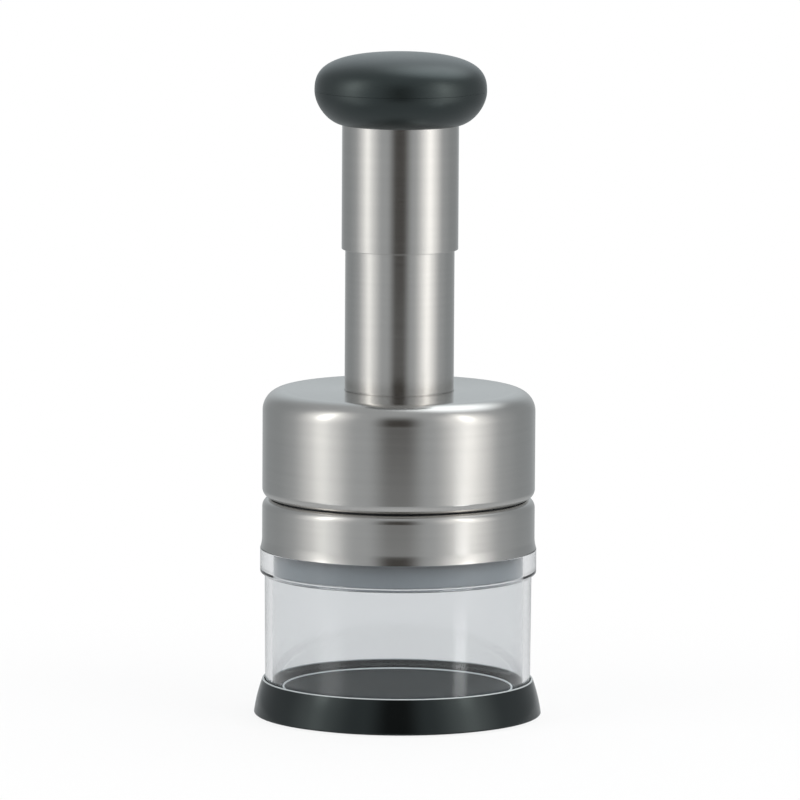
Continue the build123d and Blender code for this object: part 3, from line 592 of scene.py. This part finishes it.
def makeKnobDome(size):
    seam, crown = size["seam"], size["domeCrown"]
    outside = bendPoints(
        (size["radius"], seam + size["crease"]),
        (size["radius"], seam + size["domeSide"] * (size["top"] - seam)),
        (crown * size["radius"], size["top"]),
        (0, size["top"]),
        steps=36,
    )
    ceiling = size["top"] - size["wall"]
    hollow = bendPoints(
        (0, ceiling),
        (crown * size["snapInner"], ceiling),
        (size["snapInner"], seam + size["domeSide"] * (ceiling - seam)),
        (size["snapInner"], seam),
    )
    middle = [point for point in hollow if point[0] < size["pressInner"]]
    around = [point for point in hollow if point[0] > size["pressOuter"]]
    press = [  # ring that hangs from the ceiling and sits on the core
        (size["pressInner"], middle[-1][1]),
        (size["pressInner"], size["pressBottom"]),
        (size["pressOuter"], size["pressBottom"]),
        (size["pressOuter"], around[0][1]),
    ]
    low = seam - size["snapDepth"]
    snap = [
        (size["snapInner"], low, size["edge"]),
        (size["snapOuter"], low, size["edge"]),
        (size["snapOuter"], seam),
        (size["radius"] - size["crease"], seam, size["creaseRound"]),
    ]
    return turned("knobDome", middle + press + around + snap + outside, gripBlack)


def makeKnobSkirt(size):
    seam, drop = size["seam"], size["seam"] - size["bottom"]
    neck = size["land"] + size["bellyNeck"] * (size["radius"] - size["land"])
    belly = bendPoints(
        (size["radius"], seam - size["crease"]),
        (size["radius"], seam - size["bellySide"] * drop),
        (neck, size["bottom"] + size["bellyFoot"] * drop),
        (size["land"], size["bottom"]),
        steps=30,
    )
    grooveLow = seam - size["snapDepth"] - size["snapGap"]
    inside = [
        (size["bore"], size["bottom"]),
        (size["bore"], size["coreBottom"]),
        (size["coreRadius"], size["coreBottom"]),
        (size["coreRadius"], seam, size["edge"]),
        (size["snapInner"] - size["snapGap"], seam, size["edge"]),
        (size["snapInner"] - size["snapGap"], grooveLow),
        (size["snapOuter"] + size["snapGap"], grooveLow),
        (size["snapOuter"] + size["snapGap"], seam),
        (size["radius"] - size["crease"], seam, size["creaseRound"]),
    ]
    return turned("knobSkirt", belly + inside, gripBlack)


place(makeKnobDome(knob), "plunger", "black_grip", "knob_top")
place(makeKnobSkirt(knob), "plunger", "black_grip", "knob_base")
print("knob made")

# tubes: the handle slides down over the guide, which has a fine groove where it leaves the housing
handle = {"radius": 19.0, "bore": 18.1, "bottom": 153.3, "top": 207.5, "edge": 0.18}
guide = {"radius": 17.8, "bore": 16.9, "bottom": 104.9, "top": 165.3, "edge": 0.18}
guideGroove = {"bottom": 107.2, "top": 107.65, "depth": 0.7}


def makeTube(name, size, groove=None):
    bore, radius, edge = size["bore"], size["radius"], size["edge"]
    outline = [(r, size["bottom"], edge) for r in (bore, radius)]
    if groove:
        inner = radius - groove["depth"]
        outline += [(radius, groove["bottom"]), (inner, groove["bottom"])]
        outline += [(inner, groove["top"]), (radius, groove["top"])]
    outline += [(r, size["top"], edge) for r in (radius, bore)]
    return turned(name, outline, brushedSteel)


place(makeTube("handleTube", handle), "plunger", "brushed_steel", "handle_tube")
place(makeTube("guideTube", guide, guideGroove), "housing", "brushed_steel", "guide_tube")
print("tubes made")

# housing: drawn shell with a flat top, a round shoulder and a rolled lower edge
housing = {
    "radius": 44.5,
    "top": 107.2,
    "wall": 1.0,
    "shoulder": 6.8,
    "bore": 17.85,
    "boreEdge": 0.3,
    "bottom": 71.9,
    "roll": 3.0,
    "rollDeg": 78.0,
}


def makeHousing(size):
    radius, top, wall, roll = size["radius"], size["top"], size["wall"], size["roll"]
    rollHeight = size["bottom"] + roll * sin(radians(size["rollDeg"]))
    outer = arcPoints(radius - roll, rollHeight, roll, 0, -size["rollDeg"], steps=12)
    inner = arcPoints(radius - roll, rollHeight, roll - wall, -size["rollDeg"], 0, steps=10)
    outline = [(size["bore"], top, size["boreEdge"]), (radius, top, size["shoulder"])] + outer + inner
    outline += [(radius - wall, top - wall, size["shoulder"] - wall), (size["bore"], top - wall)]
    return turned("housingShell", outline, brushedSteel, segments=fineSegments, roundSteps=16)


place(makeHousing(housing), "housing", "brushed_steel", "housing_shell")
print("housing made")

# collar: steel band over a slate liner, whose plug stands in the jar
collar = {
    "radius": 44.5,
    "bottom": 55.4,
    "top": 71.6,
    "wall": 0.6,
    "flare": 0.5,
    "flareHeight": 3.4,
    "flareSteps": 6,
    "roll": 3.0,
    "rollDeg": 78.0,
}


def makeBand(size):
    radius, wall, roll, flare = size["radius"], size["wall"], size["roll"], size["flare"]
    rollHeight = size["top"] - roll * sin(radians(size["rollDeg"]))
    sweep = (size["flareHeight"] ** 2 + flare**2) / (2 * flare)  # radius of the flare's curve
    flareOut = []
    for step in range(size["flareSteps"] + 1):
        down = size["flareHeight"] * step / size["flareSteps"]
        height = size["bottom"] + size["flareHeight"] - down
        flareOut.append((radius + sweep - sqrt(sweep**2 - down**2), height))
    flareIn = [(across - wall, height) for across, height in reversed(flareOut)]
    outer = arcPoints(radius - roll, rollHeight, roll, size["rollDeg"], 0, steps=12)
    inner = arcPoints(radius - roll, rollHeight, roll - wall, 0, size["rollDeg"], steps=10)
    return turned("collarBand", outer + flareOut + flareIn + inner, brushedSteel, segments=fineSegments)


place(makeBand(collar), "collar", "brushed_steel", "collar_band")

liner = {
    "plugRadius": 40.7,
    "plugBottom": 47.4,
    "plugEdge": 0.6,
    "plugBore": 36.9,
    "ledgeRadius": 34.0,
    "ledgeTop": 48.8,
    "jarTop": 55.4,
    "flangeTop": 57.8,
    "outer": 43.85,
    "outerBore": 42.05,
    "outerTop": 68.67,
    "neckOuter": 40.4,
    "neckBore": 38.2,
    "neckTop": 82.03,
    "edge": 0.3,
    "lugReach": 2.0,
    "lugBottom": 77.83,
    "lugTop": 80.83,
    "lugDeg": 16.0,
    "lugCount": 3,
    "lugSteps": 8,
}


def makeLiner(size):
    edge = size["edge"]
    outline = [
        (size["ledgeRadius"], size["plugBottom"], edge),
        (size["plugRadius"], size["plugBottom"], size["plugEdge"]),
        (size["plugRadius"], size["jarTop"]),
        (size["outer"], size["jarTop"]),
        (size["outer"], size["outerTop"]),
        (size["outerBore"], size["outerTop"]),
        (size["outerBore"], size["flangeTop"]),
        (size["neckOuter"], size["flangeTop"]),
        (size["neckOuter"], size["neckTop"], edge),
        (size["neckBore"], size["neckTop"], edge),
        (size["neckBore"], size["flangeTop"]),
        (size["plugBore"], size["flangeTop"], edge),
        (size["plugBore"], size["ledgeTop"]),
        (size["ledgeRadius"], size["ledgeTop"], edge),
    ]
    return turned("collarLiner", outline, slatePlastic)


# one lug as a short ring sector, repeated round the neck
def makeLugs(size):
    inner, outer = size["neckOuter"] * mm, (size["neckOuter"] + size["lugReach"]) * mm
    low, high = size["lugBottom"] * mm, size["lugTop"] * mm
    steps = size["lugSteps"]
    section = ((inner, low), (outer, low), (outer, high), (inner, high))
    corners = range(len(section))
    points = []
    for step in range(steps + 1):
        angle = radians(size["lugDeg"]) * (step / steps - 0.5)
        points += [(r * cos(angle), r * sin(angle), z) for r, z in section]
    faces = [tuple(corners), tuple(len(section) * steps + corner for corner in reversed(corners))]
    for step in range(steps):
        first, second = len(section) * step, len(section) * (step + 1)
        for corner in corners:
            after = (corner + 1) % len(section)
            faces.append((first + corner, second + corner, second + after, first + after))
    piece = newPiece("bayonetLugs", points, [], faces)
    return settle(piece, arrayTree, {"Count": size["lugCount"], "Start": 0.0, "Material": slatePlastic})


place(makeLiner(liner), "collar", "slate_plastic", "collar_liner")
place(makeLugs(liner), "collar", "slate_plastic")
print("collar made")

# jar: straight clear wall with a thick rim
jar = {
    "radius": 43.6,
    "footRadius": 43.3,
    "bore": 41.0,
    "bottom": 6.4,
    "top": 55.4,
    "rimRadius": 45.1,
    "rimBottom": 47.0,
    "rimRound": 0.7,
    "cove": 0.7,
    "edge": 0.35,
}


def makeJar(size):
    outline = [
        (size["bore"], size["bottom"], size["edge"]),
        (size["footRadius"], size["bottom"], size["edge"]),
        (size["radius"], size["rimBottom"], size["cove"]),
        (size["rimRadius"], size["rimBottom"], size["rimRound"]),
        (size["rimRadius"], size["top"], size["edge"]),
        (size["bore"], size["top"], size["edge"]),
    ]
    return turned("clearJar", outline, clearJar, segments=fineSegments, roundSteps=8)


place(makeJar(jar), "jar", "clear_jar", "jar")
print("jar made")

# base: flared black cup with a ribbed underside, chopping board and rubber ring
base = {
    "radius": 47.0,
    "lipRadius": 44.2,
    "lipBore": 43.6,
    "lipEdge": 0.28,
    "top": 12.0,
    "foot": 0.6,
    "footRound": 0.4,
    "bulge": 0.45,  # push on the bend of the side
    "skirtBore": 44.2,
    "floorTop": 6.4,
    "floorBottom": 4.2,
    "seatRadius": 39.45,
    "seatBottom": 5.8,
    "ringOuter": 39.2,
    "ringInner": 37.6,
    "bossRadius": 6.0,
    "edge": 0.2,
    "ribBottom": 1.4,
    "ribWall": 1.6,
    "ribBite": 0.2,
    "ribCount": 8,
}


def makeBase(size):
    lean, rise = size["radius"] - size["lipRadius"], size["top"] - size["foot"]
    third = (size["lipRadius"] + lean / 3 + size["bulge"], size["top"] - rise / 3)
    twoThirds = (size["radius"] - lean / 3 + size["bulge"], size["foot"] + rise / 3)
    side = bendPoints((size["lipRadius"], size["top"]), third, twoThirds, (size["radius"], size["foot"]))
    side[-1] += (size["footRound"],)
    inside = [
        (0, size["seatBottom"]),
        (size["seatRadius"], size["seatBottom"]),
        (size["seatRadius"], size["floorTop"], size["edge"]),
        (size["lipBore"], size["floorTop"]),
        (size["lipBore"], size["top"], size["lipEdge"]),
        (size["lipRadius"], size["top"], size["lipEdge"]),
    ]
    under = [
        (size["skirtBore"], size["foot"], size["edge"]),
        (size["skirtBore"], size["floorBottom"]),
        (size["ringOuter"], size["floorBottom"]),
        (size["ringOuter"], size["ribBottom"], size["edge"]),
        (size["ringInner"], size["ribBottom"], size["edge"]),
        (size["ringInner"], size["floorBottom"]),
        (size["bossRadius"], size["floorBottom"]),
        (size["bossRadius"], size["ribBottom"], size["edge"]),
        (0, size["ribBottom"]),
    ]
    return turned("baseCup", inside + side[1:] + under, baseBlack, segments=fineSegments)


# one rib from the boss to the ring, repeated round the axis
def makeRibs(size):
    near, far = (size["bossRadius"] - size["ribBite"]) * mm, (size["ringInner"] + size["ribBite"]) * mm
    low, high, half = size["ribBottom"] * mm, size["floorBottom"] * mm, size["ribWall"] / 2 * mm
    points = [(x, y, z) for x in (near, far) for y in (-half, half) for z in (low, high)]
    faces = [(0, 1, 3, 2), (4, 6, 7, 5), (0, 4, 5, 1), (2, 3, 7, 6), (0, 2, 6, 4), (1, 5, 7, 3)]
    piece = newPiece("baseRibs", points, [], faces)
    return settle(piece, arrayTree, {"Count": size["ribCount"], "Start": 0.0, "Material": baseBlack})


place(makeBase(base), "base", "black_plastic", "base_cup")
place(makeRibs(base), "base", "black_plastic")

# board with a fine raised line near its edge
board = {"radius": 39.4, "bottom": 5.8, "top": 9.4, "edge": 0.4}
boardRim = {"outer": 37.6, "inner": 37.0, "top": 9.9, "edge": 0.15}
boardOutline = [
    (0, board["bottom"]),
    (board["radius"], board["bottom"]),
    (board["radius"], board["top"], board["edge"]),
    (boardRim["outer"], board["top"]),
    (boardRim["outer"], boardRim["top"], boardRim["edge"]),
    (boardRim["inner"], boardRim["top"], boardRim["edge"]),
    (boardRim["inner"], board["top"]),
    (0, board["top"]),
]
place(turned("choppingBoard", boardOutline, blackBoard), "base", "black_board", "chopping_board")

ring = {"inner": 39.25, "outer": 44.15, "bottom": 0.0, "top": 4.2, "edge": 0.6}
ringOutline = [
    (ring["inner"], ring["bottom"], ring["edge"]),
    (ring["outer"], ring["bottom"], ring["edge"]),
    (ring["outer"], ring["top"]),
    (ring["inner"], ring["top"]),
]
place(turned("footRing", ringOutline, rubberBlack), "base", "black_rubber", "foot_ring")
print("base made")

# return spring inside the tubes, built as one fixed shape (the real spring shortens as the knob is pressed)
spring = {
    "Turns": 9,
    "Steps": 40,
    "Wire Steps": 12,
    "Coil Radius": 12.45 * mm,
    "Wire Radius": 0.8 * mm,
    "Bottom": 121.45 * mm,
    "Top": 206.45 * mm,
    "End Pitch": 2.1 * mm,
    "Material": brightSteel,
}
coil = settle(newPiece("returnSpring", [(0, 0, 0)], []), coilTree, spring, sharpDeg=60)
place(coil, "housing", "bright_steel", "return_spring")
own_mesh(coil)
print("spring made")

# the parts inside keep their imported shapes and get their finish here
finishes = {
    "bright_steel": brightSteel,
    "black_rubber": rubberBlack,
    "slate_plastic": slatePlastic,
    "white_plastic": whitePlastic,
    "brass": turnedBrass,
}
for row in frame["record"]["subparts"]:
    node = frame["nodes"][row["node"]]
    if row["material_slot"] in finishes:
        node.material_slots[0].material = finishes[row["material_slot"]]
print("inner parts finished")

# studio: a pale table that fades out, and a dome of soft lights that only reflections see
studio = {
    "tableRadius": 0.25,
    "tableSides": 128,
    "tableTone": colour(0.6, 0.6, 0.6),
    "tableRough": 0.7,
    "tableShare": 0.3,  # the rest lets the white backdrop through
    "seenShare": 0.12,  # the same, for what the camera sees
    "fadeNear": 0.06,
    "domeRadius": 0.6,
    "domeSides": 64,
    "domeRings": 32,
    "domeHeight": 0.1,
    "domeTone": (0.45, 0.47, 0.48),
    "upperDeg": (4, 20),  # strips get brighter between these heights
    "worldTone": colour(0.92, 0.96, 1.0),
    "worldLight": 0.5,
    "white": colour(1, 1, 1),
}
# upright strips of light, in degrees: the middle's turn from the camera, half the even width, the soft
# edge, and the heights where each fades in and out again; lift is how much brighter the upper part is
strips = {
    "left": {
        "turnDeg": -67, "halfDeg": 0, "softDeg": 33, "spanDeg": (-20, -7, 30, 64),
        "glow": (0.70, 0.69, 0.67), "lift": 0.4,
    },
    "leftCore": {
        "turnDeg": -67, "halfDeg": 2, "softDeg": 8, "spanDeg": (-20, -7, 30, 60),
        "glow": (0.18, 0.18, 0.17), "lift": 6.0,
    },
    "leftGlint": {
        "turnDeg": -58, "halfDeg": 3, "softDeg": 14, "spanDeg": (-21, -18, -17, -13.5),
        "glow": (1.3, 1.33, 1.33), "lift": 0.0,
    },
    "right": {
        "turnDeg": 60.5, "halfDeg": 0, "softDeg": 35, "spanDeg": (-20, -7, 22, 60),
        "glow": (0.96, 0.94, 0.91), "lift": 0.1,
    },
    "rightCore": {
        "turnDeg": 60.5, "halfDeg": 2, "softDeg": 8, "spanDeg": (-20, -7, 30, 60),
        "glow": (0.16, 0.16, 0.15), "lift": 5.0,
    },
    "rightGlint": {
        "turnDeg": 54, "halfDeg": 2, "softDeg": 7, "spanDeg": (-21, -18, -17, -13.5),
        "glow": (3.5, 3.58, 3.58), "lift": 0.0,
    },
    "dark": {
        "turnDeg": -0.5, "halfDeg": 6, "softDeg": 20, "spanDeg": (-16.5, -4.5, 22, 60),
        "glow": (-0.39, -0.415, -0.43), "lift": 0.0,
    },
    "backLeft": {
        "turnDeg": -130, "halfDeg": 8, "softDeg": 32, "spanDeg": (-20, -10, 22, 60),
        "glow": (-0.12, -0.12, -0.12), "lift": 0.0,
    },
    "backRight": {
        "turnDeg": 130, "halfDeg": 8, "softDeg": 32, "spanDeg": (-20, -10, 22, 60),
        "glow": (-0.12, -0.12, -0.12), "lift": 0.0,
    },
}
# round lights overhead, behind the object
rounds = {
    "sky": {"turnDeg": 180, "riseDeg": 32, "halfDeg": 10, "softDeg": 32, "glow": (0.19, 0.225, 0.245)},
    "lamp": {"turnDeg": 130, "riseDeg": 65, "halfDeg": 8, "softDeg": 26, "glow": (1.38, 1.46, 1.50)},
}


# rays that show the white background
def seenRays(tree):
    path = addNode(tree, "ShaderNodeLightPath").outputs
    bent = mathNode(tree, "MAXIMUM", path["Is Glossy Ray"], path["Is Transmission Ray"])
    return mathNode(tree, "MAXIMUM", path["Is Camera Ray"], bent)


def makeTable(values):
    sides, radius = values["tableSides"], values["tableRadius"]
    bpy.ops.mesh.primitive_circle_add(vertices=sides, radius=radius, fill_type="NGON")
    table = bpy.context.object
    table.name = "studioTable"
    sockets = {"Base Color": values["tableTone"], "Roughness": values["tableRough"]}
    look, tree, shader, where = startLook("tablePaper", sockets)
    distance = addNode(tree, "ShaderNodeVectorMath", {0: where}, operation="LENGTH").outputs["Value"]
    fade = ranged(tree, distance, 1.0, 0.0, values["fadeNear"], radius, ease="SMOOTHSTEP")
    path = addNode(tree, "ShaderNodeLightPath").outputs
    seen = mathNode(tree, "MAXIMUM", path["Is Camera Ray"], path["Is Transmission Ray"])
    paper = ranged(tree, seen, values["tableShare"], values["seenShare"], 0.0, 1.0)
    share = mathNode(tree, "MULTIPLY", fade, paper)
    under = addNode(tree, "ShaderNodeNewGeometry").outputs["Backfacing"]
    above = mathNode(tree, "SUBTRACT", 1.0, under)
    clear = addNode(tree, "ShaderNodeBsdfTransparent").outputs[0]
    wires = {0: mathNode(tree, "MULTIPLY", share, above), 1: clear, 2: shader.outputs[0]}
    sheet = addNode(tree, "ShaderNodeMixShader", wires).outputs[0]
    tree.links.new(sheet, tree.nodes["Material Output"].inputs["Surface"])
    table.data.materials.append(look)


# direction at a turn from the camera's side and a rise above the level
def towards(turnDeg, riseDeg):
    turn, rise = radians(turnDeg), radians(riseDeg)
    return Vector((sin(turn) * cos(rise), -cos(turn) * cos(rise), sin(rise)))


# share of a light at an angle from its middle
def softShare(tree, away, light):
    edge, end = radians(light["halfDeg"]), radians(light["halfDeg"] + light["softDeg"])
    return ranged(tree, away, 1.0, 0.0, edge, end, ease="SMOOTHSTEP")


def addGlow(tree, light, share, total):
    wires = {0: light["glow"], 1: share, 2: total}
    return addNode(tree, "ShaderNodeVectorMath", wires, operation="MULTIPLY_ADD").outputs[0]


def makeDome(values, strips, rounds):
    sides, rings = values["domeSides"], values["domeRings"]
    bpy.ops.mesh.primitive_uv_sphere_add(segments=sides, ring_count=rings, radius=values["domeRadius"])
    dome = bpy.context.object
    dome.name = "studioDome"
    dome.location.z = values["domeHeight"]
    look = bpy.data.materials.new("domeLights")
    look.use_nodes = True
    tree = look.node_tree
    tree.nodes.clear()
    where = addNode(tree, "ShaderNodeTexCoord").outputs["Object"]
    aim = addNode(tree, "ShaderNodeVectorMath", {0: where}, operation="NORMALIZE").outputs[0]
    parts = addNode(tree, "ShaderNodeSeparateXYZ", {0: aim}).outputs
    turn = mathNode(tree, "ARCTAN2", parts["X"], mathNode(tree, "MULTIPLY", parts["Y"], -1.0))
    rise = mathNode(tree, "ARCSINE", parts["Z"])

    def risen(low, high):
        return ranged(tree, rise, 0.0, 1.0, radians(low), radians(high), ease="SMOOTHSTEP")

    upper = risen(*values["upperDeg"])
    total = values["domeTone"]
    for strip in strips.values():
        offset = mathNode(tree, "SUBTRACT", turn, radians(strip["turnDeg"]))
        away = mathNode(tree, "ARCCOSINE", mathNode(tree, "COSINE", offset))
        lifted = mathNode(tree, "MULTIPLY_ADD", upper, strip["lift"], 1.0)
        share = mathNode(tree, "MULTIPLY", softShare(tree, away, strip), lifted)
        shown = mathNode(tree, "SUBTRACT", risen(*strip["spanDeg"][:2]), risen(*strip["spanDeg"][2:]))
        total = addGlow(tree, strip, mathNode(tree, "MULTIPLY", share, shown), total)
    for light in rounds.values():
        wires = {0: aim, 1: towards(light["turnDeg"], light["riseDeg"])}
        near = addNode(tree, "ShaderNodeVectorMath", wires, operation="DOT_PRODUCT").outputs["Value"]
        total = addGlow(tree, light, softShare(tree, mathNode(tree, "ARCCOSINE", near), light), total)
    glow = addNode(tree, "ShaderNodeEmission", {"Color": total, "Strength": 1.0}).outputs[0]
    addNode(tree, "ShaderNodeOutputMaterial", {0: glow})
    dome.data.materials.append(look)
    for kind in ("camera", "diffuse", "transmission", "volume_scatter", "shadow"):
        setattr(dome, "visible_" + kind, False)


def makeWorld(values):
    world = bpy.data.worlds.new("studioWorld")
    world.use_nodes = True
    tree = world.node_tree
    tree.nodes.clear()
    soft = {"Color": values["worldTone"], "Strength": values["worldLight"]}
    light = addNode(tree, "ShaderNodeBackground", soft).outputs[0]
    white = addNode(tree, "ShaderNodeBackground", {"Color": values["white"], "Strength": 1.0}).outputs[0]
    both = addNode(tree, "ShaderNodeMixShader", {0: seenRays(tree), 1: light, 2: white}).outputs[0]
    addNode(tree, "ShaderNodeOutputWorld", {0: both})
    bpy.context.scene.world = world


lamps = {
    "leftBox": {"turnDeg": -60, "riseDeg": 28, "distance": 1.4, "wide": 0.8, "tall": 1.1, "power": 14.0},
    "rightBox": {"turnDeg": 55, "riseDeg": 30, "distance": 1.4, "wide": 0.8, "tall": 1.1, "power": 16.0},
    "topBox": {"turnDeg": 150, "riseDeg": 70, "distance": 1.3, "wide": 1.0, "tall": 1.0, "power": 10.0},
}
lampAim = Vector((0, 0, 0.1))


def makeLamp(name, values):
    lamp = bpy.data.lights.new(name, "AREA")
    lamp.shape = "RECTANGLE"
    lamp.size = values["wide"]
    lamp.size_y = values["tall"]
    lamp.energy = values["power"]
    holder = bpy.data.objects.new(name, lamp)
    bpy.context.collection.objects.link(holder)
    away = towards(values["turnDeg"], values["riseDeg"])
    holder.location = lampAim + away * values["distance"]
    holder.rotation_euler = (-away).to_track_quat("-Z", "Y").to_euler()
    holder.visible_camera = False
    holder.visible_glossy = False


makeTable(studio)
makeDome(studio, strips, rounds)
makeWorld(studio)
for lampName, lampValues in lamps.items():
    makeLamp(lampName, lampValues)
print("studio made")

# camera at the photograph's angle
camera = {
    "aim": Vector((0.0003, 0, 0.10365)),
    "distance": 3.0,
    "riseDeg": 7.36,
    "rollDeg": 0.32,
    "lens": 414.0,
    "sensor": 36.0,
    "near": 0.05,
    "far": 30.0,
}


def makeCamera(values):
    data = bpy.data.cameras.new("photoCamera")
    data.lens, data.sensor_width = values["lens"], values["sensor"]
    data.clip_start, data.clip_end = values["near"], values["far"]
    holder = bpy.data.objects.new("photoCamera", data)
    bpy.context.collection.objects.link(holder)
    rise = radians(values["riseDeg"])
    away = Vector((0, -cos(rise), sin(rise)))
    level = (-away).to_track_quat("-Z", "Y").to_matrix()
    look = level @ Matrix.Rotation(radians(values["rollDeg"]), 3, "Z")
    holder.matrix_world = Matrix.Translation(values["aim"] + away * values["distance"]) @ look.to_4x4()
    bpy.context.scene.camera = holder


makeCamera(camera)
bpy.context.scene.view_settings.view_transform = "Standard"
print("camera made")
